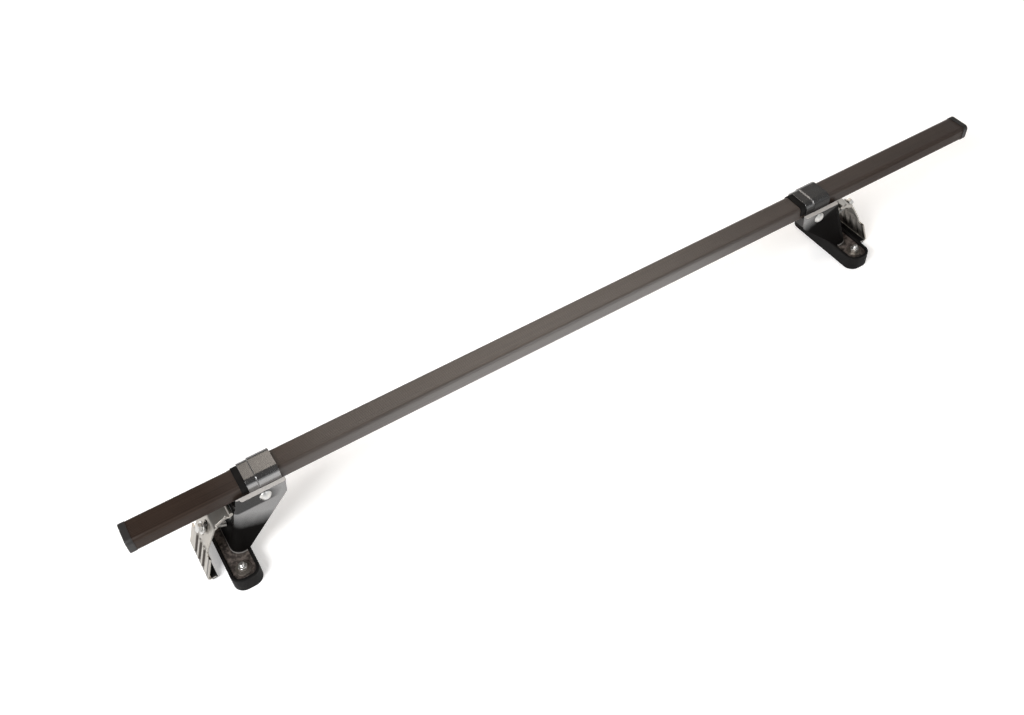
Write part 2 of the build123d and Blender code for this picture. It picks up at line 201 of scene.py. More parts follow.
def grid(points, around=False, along=False, keep=None):
    """Points and quads of a grid of points (rows, columns, xyz): a quad joins each point to its neighbours in
    the next column and row. Around closes the columns to rings, along closes the rows, and keep says which
    quads stay."""
    rows, columns = points.shape[:2]
    row = np.arange(rows - (not along))[:, None]
    column = np.arange(columns - (not around))[None, :]
    beside = (column + 1) % columns
    beyond = (row + 1) % rows * columns
    row = row * columns
    ring = (row + column, row + beside, beyond + beside, beyond + column)
    quads = np.stack(np.broadcast_arrays(*ring), -1)
    return points.reshape(-1, 3), (quads if keep is None else quads[keep]).reshape(-1, 4)


def piece(name, material, *shapes, crease=40):
    """One object from such shapes. Points that coincide are merged, which closes seams and poles, the faces
    are turned outwards, and edges sharper than the crease angle stay sharp."""
    firsts = np.cumsum([0] + [len(points) for points, quads in shapes])
    points = np.concatenate([points for points, quads in shapes]) * MM
    quads = np.concatenate([quads + first for (points, quads), first in zip(shapes, firsts)])
    mesh = bpy.data.meshes.new(name)
    mesh.from_pydata(points.tolist(), [], quads.tolist())
    work = bmesh.new()
    work.from_mesh(mesh)
    bmesh.ops.remove_doubles(work, verts=work.verts, dist=merge_distance * MM)
    loose = [point for point in work.verts if not point.link_faces]
    bmesh.ops.delete(work, geom=loose, context="VERTS")
    bmesh.ops.recalc_face_normals(work, faces=work.faces)
    work.to_mesh(mesh)
    work.free()
    mesh.shade_smooth()
    mesh.set_sharp_from_angle(angle=math.radians(crease))
    mesh.materials.append(material)
    made = bpy.data.objects.new(name, mesh)
    bpy.context.scene.collection.objects.link(made)
    return made


def rounded_ring(half_width, half_height, corner, top=ring_top):
    """A rounded rectangle for each row, as a closed ring of (y, z): the top run, then a quarter circle at
    each corner with the side after it. Top gives the places along the top run, from -1 to 1."""
    sizes = (half_width, half_height, corner)
    width, height, corner = (np.asarray(size, float)[:, None] for size in sizes)
    sine, cosine = corner * np.sin(ring_turn), corner * np.cos(ring_turn)
    width, height = width - corner, height - corner
    level = np.ones_like(ring_side)
    y = [width * top[1:-1], width + sine, (width + corner) * level, width + cosine, -width * ring_side,
         -width - sine, -(width + corner) * level, -width - cosine]
    z = [(height + corner) * np.ones_like(top[1:-1]), height + cosine, -height * ring_side, -height - sine,
         -(height + corner) * level, -height - cosine, height * ring_side, height + sine]
    return np.stack([np.concatenate(y, 1), np.concatenate(z, 1)], -1)


def bar_surface():
    """The tube as a ring of rows: out along its skin, round the sawn end, back along its bore and round the
    other end. Each row is the section shrunk by an inset, with grooves sunk into the top by a smooth step."""
    length = np.linspace(bar_start + bar_broken_edge, bar_end - bar_broken_edge, bar_stations)
    over = bar_broken_edge * np.sin(bar_edge_turn)
    inset = bar_broken_edge * (1 - np.cos(bar_edge_turn))
    bore = bar_wall + 0 * length
    x = np.concatenate([length, length[-1] + over, [bar_end], length[::-1], [bar_start],
                        length[0] - over[::-1]])
    shrink = np.concatenate([0 * length, inset, bore[:1], bore, bore[:1], inset[::-1]])
    flat = bar_half_width - bar_corner
    beside = groove_width / 2 * groove_columns
    run = np.unique(np.concatenate([[-flat, flat], *(groove_places[:, None] + beside)]).round(3))
    ring = rounded_ring(bar_half_width - shrink, bar_half_height - shrink, bar_corner - shrink, run / flat)
    from_groove = np.abs(run[1:-1, None] - groove_places).min(1) / (groove_width / 2)
    fall = np.clip((groove_rim - from_groove) / groove_slope, 0, 1)
    fall = groove_depth * fall ** 2 * (3 - 2 * fall)
    ring[:, :len(fall), 1] -= fall * (1 - shrink / bar_wall)[:, None]
    x = np.broadcast_to(x[:, None], ring.shape[:2])
    return np.dstack([x, ring[..., 0], ring[..., 1] + bar_middle])


def powder_coat():
    """Satin powder coat: streaks that run along the bar, fine grain, and a faint cloudiness. Painted shade:
    the left end, and the front face of the right end, are darkened by mixing in a dull shader. Painted sheen:
    between the feet that face has a clear coat, which makes it reflect more."""
    finish = Finish(bpy.data.materials.new("powder_coat"), IOR=1.6, Specular_IOR_Level=0.75, Coat_IOR=1.8,
                    Coat_Roughness=0.25)
    streak = finish.grain(streak_size, stretch=streak_stretch)
    cloud = finish.grain(coat_cloud, stretch=cloud_stretch)
    speck = finish.grain(coat_speck)
    tone = finish.mask(streak * streak_share + cloud * (1 - streak_share), *coat_tones)
    looks = {"Base_Color": finish.blend(tone, coat_dark, coat_light),
             "Roughness": coat_roughness + coat_unevenness * speck,
             "Normal": finish.relief(streak * streak_height + speck, coat_relief)}
    along, across = finish.place("X"), finish.place("Y")
    face = finish.mask(across, *front_face)
    # Painted shade: the left end and the right end's front face are dulled to darken them.
    end_shade = finish.mask(along, *end_shade_left) + finish.mask(along, *end_shade_right) * face
    finish.dull_by(end_shade_most * end_shade, **looks)
    # Painted sheen: a clear coat on the front face between the feet brightens its reflection.
    painted_sheen = finish.mask(along, *sheen_from) * finish.mask(along, *sheen_to) * face
    return finish.show(Coat_Weight=sheen_most * painted_sheen, **looks)


crossbar = piece("crossbar", powder_coat(), grid(bar_surface(), around=True, along=True), crease=50)
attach(crossbar, "bar")
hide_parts("crossbar_tube")

# End caps: moulded plastic plugs with a raised flange, pushed into the tube's two ends.
# The flange stands a little proud of the tube and laps over it in a thin skirt.
# It has a rounded rim and a slightly hollow face inside it.
cap_overhang = 0.6
cap_edge = 1.5
cap_dish = 0.5
dish_edge, dish_slope = 0.96, 0.2
cap_clearance = 0.15
cap_skirt = 3.5
skirt_clearance = 0.05
cap_wall = 2.0
cap_least_corner = 0.6
cap_rings = np.array([0, 0.4, 0.75, 0.9, 0.96, 1])
cap_turn = np.radians(np.linspace(0, 90, 6))
cap_dark = (0.010, 0.0095, 0.0095)
cap_light = (0.020, 0.018, 0.0175)
plastic_speck, plastic_flow = 0.5, 14
plastic_roughness, plastic_unevenness = 0.42, 0.2
plastic_relief, flow_height = 0.06, 0.3


def cap_surface(face, back, plug):
    """Rows of rounded rectangles from the middle of the outer face, over the rim, along the skirt and back
    under it to the tube's end, along the plug and back up inside it. Face, back and plug are the places of
    the face, the tube's end and the plug's end."""
    out = np.sign(face - back)
    rim = cap_overhang - cap_edge
    skirt = back - out * cap_skirt
    plug_grow = -bar_wall - cap_clearance
    inside = plug_grow - cap_wall
    behind = [skirt, skirt, back, back, plug, plug, back, back]
    behind_grow = [cap_overhang, skirt_clearance, skirt_clearance, plug_grow, plug_grow,
                   inside, inside, inside]
    grow = np.concatenate([rim + 0 * cap_rings, rim + cap_edge * np.sin(cap_turn), behind_grow])
    scale = np.concatenate([cap_rings, np.ones(len(cap_turn) + len(behind) - 1), [0]])
    hollow = cap_dish * np.clip((dish_edge - cap_rings) / dish_slope, 0, 1)
    x = np.concatenate([face - out * hollow, face - out * cap_edge * (1 - np.cos(cap_turn)), behind])
    corner = np.maximum(bar_corner + grow, cap_least_corner)
    ring = rounded_ring(scale * (bar_half_width + grow), scale * (bar_half_height + grow), scale * corner)
    x = np.broadcast_to(x[:, None], ring.shape[:2])
    return np.dstack([x, ring[..., 0], ring[..., 1] + bar_middle])


def moulded_plastic(name, edge=0.0):
    """Black moulded plastic: a fine spark-eroded grain and soft flow marks."""
    finish = Finish(bpy.data.materials.new(name), Specular_IOR_Level=0.45)
    speck = finish.grain(plastic_speck)
    flow = finish.grain(plastic_flow)
    return finish.show(Base_Color=finish.blend(flow, cap_dark, cap_light),
                       Roughness=plastic_roughness + plastic_unevenness * speck,
                       Normal=finish.relief(speck + flow * flow_height, plastic_relief, edge))


cap_plastic = moulded_plastic("cap_plastic")
for side, back in (("left", bar_start), ("right", bar_end)):
    node = side + "_end_cap"
    near, far = sorted((corner[0] for corner in corners(node)), key=abs)
    cap = piece(side + "_cap", cap_plastic, grid(cap_surface(far, back, near), around=True))
    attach(cap, "bar")
    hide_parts(node)

# Towers: each foot's bracket is one steel pressing, two cheeks joined by a leaning outboard web, with a lip
# along the top of each cheek and a flange at the base. It is stamped, folded and painted gloss black.
sides = {"left": -1, "right": 1}
paint_black = (0.0055, 0.005, 0.005)
paint_soft = (0.011, 0.0105, 0.0105)
paint_haze = 22
peel_size, peel_depth = 2.6, 0.03
bracket_roughness, bracket_haze = 0.12, 0.14
bracket_edge = 0.5
# Painted shade: the dark, dull finish mixed into the tower's paint, and its gloss.
shade_dark = (0.004, 0.0036, 0.0034)
shade_specular = 0.02
shade_roughness, shade_unevenness = 0.4, 0.2
# Painted shade: the height below which the paint is darkened, on each side, and how it climbs and fades.
shade_level = {"left": 0.048, "right": 0.087}
shade_slope, shade_fade, shade_wander = 0.4, 0.024, 0.012
# Painted shade: a band on the outboard half above the crease, dulled to dark.
band_foot, band_top = 0.0820, 0.0840
band_start, band_end, band_wander = -0.004, 0.014, 0.02
band_shade_share = 0.8
dust_brown = (0.11, 0.092, 0.082)
dust_foot, dust_top, dust_wander = 0.020, 0.027, 0.004
dust_patch, dust_patch_edge, dust_least = 5.0, (0.4, 0.6), 0.3
# Painted highlight: a grey line on the bend at the foot.
bend_highlight_foot, bend_highlight_top, bend_highlight_edge = 0.0215, 0.0240, 0.0006
bend_highlight_share = 0.3
# Painted highlight: a grey on the lips along the top of the cheeks.
highlight_grey = (0.50, 0.48, 0.46)
lip_highlight_foot, lip_highlight_top, lip_highlight_wander = 0.1052, 0.1064, 0.001
lip_highlight_share = 0.9


def bracket_paint(side):
    """Gloss black paint with orange peel. Below a level that climbs towards the outboard side, it is dulled
    and darkened as painted shade, and so is a band on the outboard half above the crease. Dust lies on the
    flange in patches. The lips and the bend at the foot are greyed as painted highlights."""
    finish = Finish(bpy.data.materials.new(side + "_bracket_paint"), IOR=2.2, Specular_IOR_Level=0.8)
    peel = finish.grain(peel_size, detail=1)
    cloud = finish.grain(paint_haze)
    normal = finish.relief(peel, peel_depth, bracket_edge)
    along, height = finish.place("X"), finish.place("Z")
    low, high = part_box(side + "_bar_strap")
    outboard = (along - (low.x + high.x) / 2) * sides[side]

    # Painted shade: below this level the paint is dulled and darkened.
    level = height - shade_slope * outboard + shade_wander * cloud
    low_shade = finish.mask(level, shade_level[side] + shade_fade, shade_level[side])
    # Painted shade: the band above the crease on the outboard half.
    band = finish.mask(outboard + band_wander * cloud, band_start, band_end)
    band = finish.mask(height, band_foot, band_top) * band
    # Painted highlight: the lips are turned grey.
    lip_highlight = finish.mask(height - lip_highlight_wander * peel, lip_highlight_foot, lip_highlight_top)
    patch = finish.mask(finish.grain(dust_patch), *dust_patch_edge)
    dust = finish.mask(height + dust_wander * cloud, dust_top, dust_foot)
    dust = dust * (dust_least + (1 - dust_least) * patch)
    # Painted highlight: a thin grey line along the bend at the foot.
    bend_highlight = finish.mask(height, bend_highlight_foot, bend_highlight_foot + bend_highlight_edge)
    bend_highlight = bend_highlight * finish.mask(height, bend_highlight_top, bend_highlight_top - bend_highlight_edge)

    colour = finish.blend(dust, shade_dark, dust_brown)
    colour = finish.blend(lip_highlight + bend_highlight_share * bend_highlight, colour, highlight_grey)
    share = finish.most(finish.most(low_shade, band * band_shade_share), lip_highlight * lip_highlight_share)
    finish.dull_by(share, shade_specular, Base_Color=colour,
                   Roughness=shade_roughness + shade_unevenness * cloud, Normal=normal)
    return finish.show(Base_Color=finish.blend(cloud, paint_black, paint_soft),
                       Roughness=bracket_roughness + bracket_haze * cloud, Normal=normal)


def dress(nodes, material):
    """Gives the finish to nodes whose own shape is right."""
    for node in nodes:
        mesh = frame["nodes"][node].data
        mesh.materials.clear()
        mesh.materials.append(material)


for side in sides:
    dress([side + "_tower"], bracket_paint(side))

# Foot pads: moulded rubber trays that the tower's flange sits in, with a rounded rim and treads underneath.
# The hidden rests under the bar are of moulded plastic.
rubber_dark = (0.0045, 0.0042, 0.0042)
rubber_dusty = (0.0085, 0.0078, 0.0074)
rubber_pit, rubber_relief = 0.7, 0.08
rubber_bloom, bloom_edge = 18, (0.35, 0.75)
rubber_roughness, rubber_unevenness = 0.5, 0.25
moulded_edge = 0.4


def rubber(name, edge=0.0):
    """Moulded rubber: matte, finely pitted, with a dusty bloom in patches."""
    finish = Finish(bpy.data.materials.new(name), Specular_IOR_Level=0.1)
    pit = finish.grain(rubber_pit)
    bloom = finish.mask(finish.grain(rubber_bloom), *bloom_edge)
    return finish.show(Base_Color=finish.blend(bloom, rubber_dark, rubber_dusty),
                       Roughness=rubber_roughness + rubber_unevenness * pit,
                       Normal=finish.relief(pit, rubber_relief, edge))


dress([side + "_foot_pad" for side in sides], rubber("pad_rubber", moulded_edge))
dress([side + "_bar_rest" for side in sides], moulded_plastic("rest_plastic", moulded_edge))

# Strap liners: thin rubber sheets wrapped over the bar under each strap, longer than the strap on one side.
# They keep the strap from marking the coat.
liner_inner = 0.2
liner_sheet = 1.2
liner_edge = 0.3
liner_stations = 13
arch_turn = np.radians(np.linspace(0, 90, 9))
arch_leg_rows, arch_run_rows = 15, 11


def arch(foot, offset):
    """A line over the bar at an offset from it, as (y, z) in columns: up the front leg from the level foot,
    round the corner, across the top and down the rear leg. An offset moves each point along the bar's own
    normal."""
    leg = np.linspace(foot, bar_middle + bar_half_height - bar_corner, arch_leg_rows + 1)[:-1]
    half_run = bar_half_width - bar_corner
    run = np.linspace(-half_run, half_run, arch_run_rows + 2)[1:-1]
    top = bar_middle + bar_half_height
    y = np.concatenate([-bar_half_width + 0 * leg, bar_corner * (1 - np.cos(arch_turn)) - bar_half_width])
    z = np.concatenate([leg, top - bar_corner * (1 - np.sin(arch_turn))])
    across = np.concatenate([-1 + 0 * leg, -np.cos(arch_turn)])
    upward = np.concatenate([0 * leg, np.sin(arch_turn)])
    across = np.concatenate([across, 0 * run, -across[::-1]])
    upward = np.concatenate([upward, 1 + 0 * run, upward[::-1]])
    y = np.concatenate([y, run, -y[::-1]]) + offset * across
    z = np.concatenate([z, top + 0 * run, z[::-1]]) + offset * upward
    return y, z


def sheet_shell(outer, inner):
    """A sheet between two surfaces with the same rows and columns, closed along all four edges."""
    ring = np.concatenate([outer, inner[:, ::-1]], 1)
    ends = [grid(np.stack([outer[end], inner[end]])) for end in (0, -1)]
    return grid(ring, around=True), *ends


def arched_surface(x, foot, offset):
    """The arch line carried along the bar through places x, at an offset that may differ between points."""
    y, z = arch(foot, offset + 0 * x[:, None])
    return np.dstack([np.broadcast_to(x[:, None], y.shape), y, z])


def round_edges(made, width, segments=2, sharp=40):
    """Rounds off the edges of a cut sheet or a moulding."""
    bevel = made.modifiers.new("rounded_edges", "BEVEL")
    bevel.width = width * MM
    bevel.segments = segments
    bevel.limit_method = "ANGLE"
    bevel.angle_limit = math.radians(sharp)
    bevel.harden_normals = True


liner_rubber = rubber("liner_rubber")
for side in sides:
    node = side + "_strap_liner"
    low, high = corners(node)
    x = np.linspace(low[0], high[0], liner_stations)
    skins = [arched_surface(x, low[2], offset) for offset in (liner_inner + liner_sheet, liner_inner)]
    liner = piece(side + "_liner", liner_rubber, *sheet_shell(*skins))
    round_edges(liner, liner_edge)
    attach(liner, side + "_foot")
    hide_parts(node)

# Straps: pressed steel bands over the bar and liner, whose legs go down inside the tower's cheeks to the
# bolt. Two thirds of each band is pressed up in a raised panel. They are painted gloss black.
strap_gap = 0.1
strap_sheet = 1.7
strap_edge = 0.35
strap_step = 1.2
strap_step_length = 27.0
strap_step_foot = 109.0
strap_step_slope = 0.5
strap_plain_rows, strap_step_rows, strap_panel_rows = 5, 7, 9
strap_front = (-0.0172, -0.0190)
# Painted shade: how far the right strap's front leg is dulled.
strap_shade = {"right": 0.85}
strap_roughness, strap_haze = 0.14, 0.14
strap_peel = 0.012


def strap_stations(start, edge, end):
    """Places along the bar from start to end, close together at the edge of the raised panel."""
    near = 2 * strap_step_slope
    plain = np.linspace(start, edge - near, strap_plain_rows)
    step = edge + np.linspace(-strap_step_slope, strap_step_slope, strap_step_rows)
    return np.concatenate([plain, step, np.linspace(edge + near, end, strap_panel_rows)])


def strap_surface(x, foot, offset, edge):
    """The arched surface, raised by a step beyond the panel's edge and above the panel's own foot."""
    z = arch(foot, 0)[1]
    length_share = np.clip((x - edge) / strap_step_slope + 0.5, 0, 1)
    height_share = np.clip((z - strap_step_foot) / strap_step_slope + 0.5, 0, 1)
    return arched_surface(x, foot, offset + strap_step * length_share[:, None] * height_share)


def strap_paint(side):
    """Gloss black paint on a thin band: a strongly reflecting film, hazy in patches. On one strap the front
    leg is dulled to dark as painted shade."""
    finish = Finish(bpy.data.materials.new(side + "_strap_paint"), IOR=2.4, Specular_IOR_Level=0.8)
    peel = finish.grain(peel_size, detail=1)
    cloud = finish.grain(paint_haze)
    looks = {"Base_Color": finish.blend(cloud, paint_black, paint_soft),
             "Roughness": strap_roughness + strap_haze * cloud, "Normal": finish.relief(peel, strap_peel)}
    # Painted shade: the front leg is dulled to darken it.
    if side in strap_shade:
        front = finish.mask(finish.place("Y"), *strap_front)
        finish.dull_by(strap_shade[side] * front, shade_specular, **looks)
    return finish.show(**looks)


for side in sides:
    node = side + "_bar_strap"
    low, high = corners(node)
    edge = high[0] - strap_step_length
    x = strap_stations(low[0], edge, high[0])
    inner = liner_inner + liner_sheet + strap_gap
    skins = [strap_surface(x, low[2], inner + strap_sheet, edge), arched_surface(x, low[2], inner)]
    strap = piece(side + "_strap", strap_paint(side), *sheet_shell(*skins))
    round_edges(strap, strap_edge)
    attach(strap, side + "_foot")
    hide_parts(node)

# Clamp bolts, washers and nuts: a round-headed bolt goes across each foot under the bar, with its washer and
# nut on the rear cheek. They are cold headed from steel wire, with rolled threads, and bright zinc plated.
clamp_shank_r = 4.0
clamp_head_height = 4.0
clamp_thread_length = 14.0
clamp_thread_pitch = 1.25
clamp_nut_flats = 13.0
thread_rows = 6
thread_depth_share = 0.61
head_rows = 12
hexagon_rows = np.array([0, 0.1, 0.25, 0.45, 0.8])
hexagon_cone = 1.73
hexagon_crown = 0.97
washer_edge = 0.25
fit_clearance = 0.25
zinc_warm = (0.66, 0.64, 0.59)
zinc_cool = (0.50, 0.51, 0.53)
zinc_bloom = 5
zinc_roughness, zinc_unevenness = 0.28, 0.16
zinc_speck, zinc_relief, zinc_edge = 0.6, 0.02, 0.25
round_turn = np.linspace(0, 2 * np.pi, 48, endpoint=False)
round_ring = np.ones_like(round_turn)
fore_aft = np.array([0.0, 1.0, 0.0])
upright = np.array([0.0, 0.0, 1.0])
along_bar = np.array([1.0, 0.0, 0.0])


def zinc(name, warm, cool, roughness):
    """Zinc plate on steel: a faint crystalline bloom, fine specks and slightly uneven gloss."""
    finish = Finish(bpy.data.materials.new(name), Metallic=1.0)
    bloom = finish.grain(zinc_bloom)
    speck = finish.grain(zinc_speck)
    return finish.show(Base_Color=finish.blend(bloom, warm, cool),
                       Roughness=roughness + zinc_unevenness * bloom,
                       Normal=finish.relief(speck, zinc_relief, zinc_edge))


def turned(radius, height, origin, axis, start):
    """A turned shape: each row is a ring at a height along the axis, and its radius is one number or a number
    for each column. Start is the direction from the axis to the first column."""
    radius = np.asarray(radius, float).reshape(len(height), -1)
    outward = np.cos(round_turn)[:, None] * start + np.sin(round_turn)[:, None] * np.cross(axis, start)
    rings = (radius * round_ring)[..., None] * outward
    return origin + rings + np.asarray(height)[:, None, None] * axis


def thread(height, major, pitch):
    """Radius of a rolled thread: the major radius less a triangle wave that climbs one pitch in each turn."""
    climb = (height[:, None] / pitch - round_turn / (2 * np.pi)) % 1
    return major - thread_depth_share * pitch * np.abs(2 * climb - 1)


def threaded_end(shank, start, end, pitch):
    """Rows of radius and height for a thread from start to end, which may lie below it, with a chamfered
    point."""
    way = np.sign(end - start)
    chamfer = shank / 4
    height = np.arange(start, end - way * chamfer, way * pitch / thread_rows)
    radius = np.concatenate([thread(height, shank, pitch), np.outer([shank - chamfer, 0], round_ring)])
    return radius, np.concatenate([height, [end, end]])


def round_headed(head_r, head_height, shank, length, thread_length, pitch):
    """Rows of a round-headed bolt that hangs its head below nought: the head is part of a ball, whose radius
    follows from its width and height, then come the plain shank and the thread."""
    ball = (head_r ** 2 + head_height ** 2) / (2 * head_height)
    tilt = np.linspace(0, np.arcsin(head_r / ball), head_rows)
    end_radius, end_height = threaded_end(shank, length - thread_length, length, pitch)
    plain = np.outer(np.concatenate([ball * np.sin(tilt), [shank, shank]]), round_ring)
    head = ball * (1 - np.cos(tilt)) - head_height
    height = np.concatenate([head, [0, length - thread_length], end_height])
    return np.concatenate([plain, end_radius]), height


def hexagon(flats, low, high, bore):
    """Rows of a hexagon between two heights, round a bore: the radius is the least of the flats' and of the
    cones that chamfer its corners at both ends."""
    height = np.concatenate([low + hexagon_rows, high - hexagon_rows[::-1]])
    flat = flats / 2 / np.cos(round_turn % (np.pi / 3) - np.pi / 6)
    cone = flats / 2 * hexagon_crown + hexagon_cone * np.minimum(height - low, high - height)
    bore_row = bore * round_ring[None]
    radius = np.concatenate([bore_row, np.minimum(flat, cone[:, None]), bore_row])
    return radius, np.concatenate([[low], height, [high]])


def washer(outer, bore, low, high):
    """Rows of a flat washer whose outer edges are rounded off by the stamping."""
    radius = np.array([bore, outer - washer_edge, outer, outer, outer - washer_edge, bore])
    return radius, np.array([low, low, low + washer_edge, high - washer_edge, high, high])


def fastener(name, shapes, body, node, material):
    """A zinc plated fastener in a CAD node's place."""
    made = piece(name, material, *shapes, crease=35)
    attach(made, body)
    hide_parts(node)


zinc_plate = zinc("zinc_plate", zinc_warm, zinc_cool, zinc_roughness)
for side in sides:
    low, high = corners(side + "_clamp_bolt")
    washer_low, washer_high = corners(side + "_clamp_washer")
    nut_low, nut_high = corners(side + "_clamp_nut")
    line = np.array([(washer_low[0] + washer_high[0]) / 2, 0, (washer_low[2] + washer_high[2]) / 2])
    washer_r = (washer_high[0] - washer_low[0]) / 2
    seat = low[1] + clamp_head_height
    bolt = round_headed((high[0] - low[0]) / 2, clamp_head_height, clamp_shank_r, high[1] - seat,
                        clamp_thread_length, clamp_thread_pitch)
    disc = washer(washer_r, clamp_shank_r + fit_clearance, washer_low[1], washer_high[1])
    nut = hexagon(clamp_nut_flats, nut_low[1], nut_high[1], clamp_shank_r)
    bolt = grid(turned(*bolt, line + seat * fore_aft, fore_aft, along_bar), around=True)
    disc = grid(turned(*disc, line, fore_aft, along_bar), around=True, along=True)
    nut = grid(turned(*nut, line, fore_aft, along_bar), around=True, along=True)
    fastener(side + "_cross_bolt", [bolt], side + "_foot", side + "_clamp_bolt", zinc_plate)
    fastener(side + "_cross_washer", [disc], side + "_foot", side + "_clamp_washer", zinc_plate)
    fastener(side + "_cross_nut", [nut], side + "_foot", side + "_clamp_nut", zinc_plate)

# Pad fixings: two round-headed studs come up through each pad and the tower's flange, and each takes a large
# washer and a nut. Their heads are sunk into the pad's underside. All are of zinc plated steel, and the
# washers have gone dull.
stud_shank_r = 3.0
stud_head_r = 7.0
stud_head_height = 3.0
stud_thread_length = 12.0
stud_thread_pitch = 1.0
stud_nut_flats = 10.0
zinc_dull_warm = (0.26, 0.23, 0.20)
zinc_dull_cool = (0.13, 0.12, 0.11)
zinc_dull_roughness = 0.4
zinc_dull = zinc("zinc_dull", zinc_dull_warm, zinc_dull_cool, zinc_dull_roughness)

for side in sides:
    stud_low, stud_high = corners(side + "_pad_studs")
    washer_low, washer_high = corners(side + "_pad_washers")
    nut_low, nut_high = corners(side + "_pad_nuts")
    washer_r = (washer_high[0] - washer_low[0]) / 2
    seat = stud_low[2] + stud_head_height
    stud = round_headed(stud_head_r, stud_head_height, stud_shank_r, stud_high[2] - seat,
                        stud_thread_length, stud_thread_pitch)
    disc = washer(washer_r, stud_shank_r + fit_clearance, washer_low[2], washer_high[2])
    nut = hexagon(stud_nut_flats, nut_low[2], nut_high[2], stud_shank_r)
    feet = [np.array([washer_low[0] + washer_r, y, 0])
            for y in (washer_low[1] + washer_r, washer_high[1] - washer_r)]
    studs = [grid(turned(*stud, foot + seat * upright, upright, along_bar), around=True) for foot in feet]
    discs = [grid(turned(*disc, foot, upright, along_bar), around=True, along=True) for foot in feet]
    nuts = [grid(turned(*nut, foot, upright, along_bar), around=True, along=True) for foot in feet]
    fastener(side + "_studs", studs, side + "_foot", side + "_pad_studs", zinc_plate)
    fastener(side + "_stud_washers", discs, side + "_foot", side + "_pad_washers", zinc_dull)
    fastener(side + "_stud_nuts", nuts, side + "_foot", side + "_pad_nuts", zinc_plate)

# Roof clips: each hooks under the roof's edge and hangs by its rolled upper edge on the tower's web.
# It is one steel pressing, bent at a knee and a waist, with a slot, three ribs, turned-up sides and a wide
# hook, and it is finished in a grey zinc-rich paint.
clip_sheet = 2.2
clip_edge, clip_edge_angle = 0.35, 72
clip_roll = 1.5
clip_roll_turn = 290.0
clip_lengths = np.array([27.0, 31.0, 47.0, 11.0])
clip_angles = np.radians([-28.0, -60.0, -69.7, -188.0])
clip_bends = (5.0, 5.0, 3.0)
clip_row = 0.7
roll_rows, bend_rows = 25, 13
plate_start, plate_end, plate_columns = 4.1, 17.4, 24
side_columns, wing_columns, slot_columns = 8, 6, 13
row_slack = 0.01
neck_half = 20.5
wing_half = 30.5
wing_length = 36.0
wing_round = 3.0
wing_round_rows = np.array([0.25, 0.5, 1])
wing_first = 1.0
wing_ease = 6.0
flange_bend = 2.0
flange_height = 6.1
flange_start, flange_end, flange_ramp = 6.5, 20.0, 3.5
rib_pitch = 12.0
rib_half_length = 14.25
rib_height = 1.8
rib_flat, rib_foot = 1.6, 3.6
slot_half_width = 3.5
slot_half_length = 12.0
slot_ease = 4.0
slot_turn = np.radians([0, 20, 40, 60, 75, 90])
clip_warm = (0.44, 0.41, 0.37)
clip_cool = (0.34, 0.33, 0.31)
clip_cloud = 14
clip_roughness, clip_haze = 0.28, 0.16
# Painted shade: a dark colour along the front flank of each rib, and where it lies.
rib_shade_colour = (0.055, 0.048, 0.042)
flank_shift = 3.2
rib_shade_reach = (0.0024, 0.0010)
rib_shade_front, rib_shade_top, rib_shade_foot = (0.015, 0.013), (0.045, 0.042), (0.007, 0.011)


def smooth_step(value, low, high):
    """Nought below low, one above high, and a smooth S between."""
    share = np.clip((value - low) / (high - low), 0, 1)
    return share ** 2 * (3 - 2 * share)


def clip_line():
    """The clip's middle line in (outboard, up) from the hanging point: a roll round that point, then straight
    stretches along the tangent from the roll, joined by arcs at each bend. Gives its points and each bend's
    corner."""
    steps = clip_lengths[:, None] * np.stack([np.cos(clip_angles), np.sin(clip_angles)], -1)
    corner = np.cumsum(steps, 0)
    reach = np.hypot(*corner[0])
    toward = np.arctan2(corner[0, 1], corner[0, 0]) - np.arccos(clip_roll / reach)
    turn = toward - np.radians(np.linspace(clip_roll_turn, 0, roll_rows))
    line = [clip_roll * np.stack([np.cos(turn), np.sin(turn)], -1)]
    before = line[0][-1]
    share = np.linspace(0, 1, bend_rows)[:, None]
    for place, beyond, bend in zip(corner, corner[1:], clip_bends):
        into, out = (way / np.hypot(*way) for way in (place - before, beyond - place))
        half = np.arccos(into @ out) / 2
        start, end = place - into * bend * np.tan(half), place + out * bend * np.tan(half)
        middle = place + (out - into) / np.hypot(*(out - into)) * bend / np.cos(half)
        arc = np.sin((1 - share) * 2 * half) * (start - middle) + np.sin(share * 2 * half) * (end - middle)
        line.append(middle + arc / np.sin(2 * half))
        before = place
    line.append(corner[-1:])
    return np.concatenate(line), corner


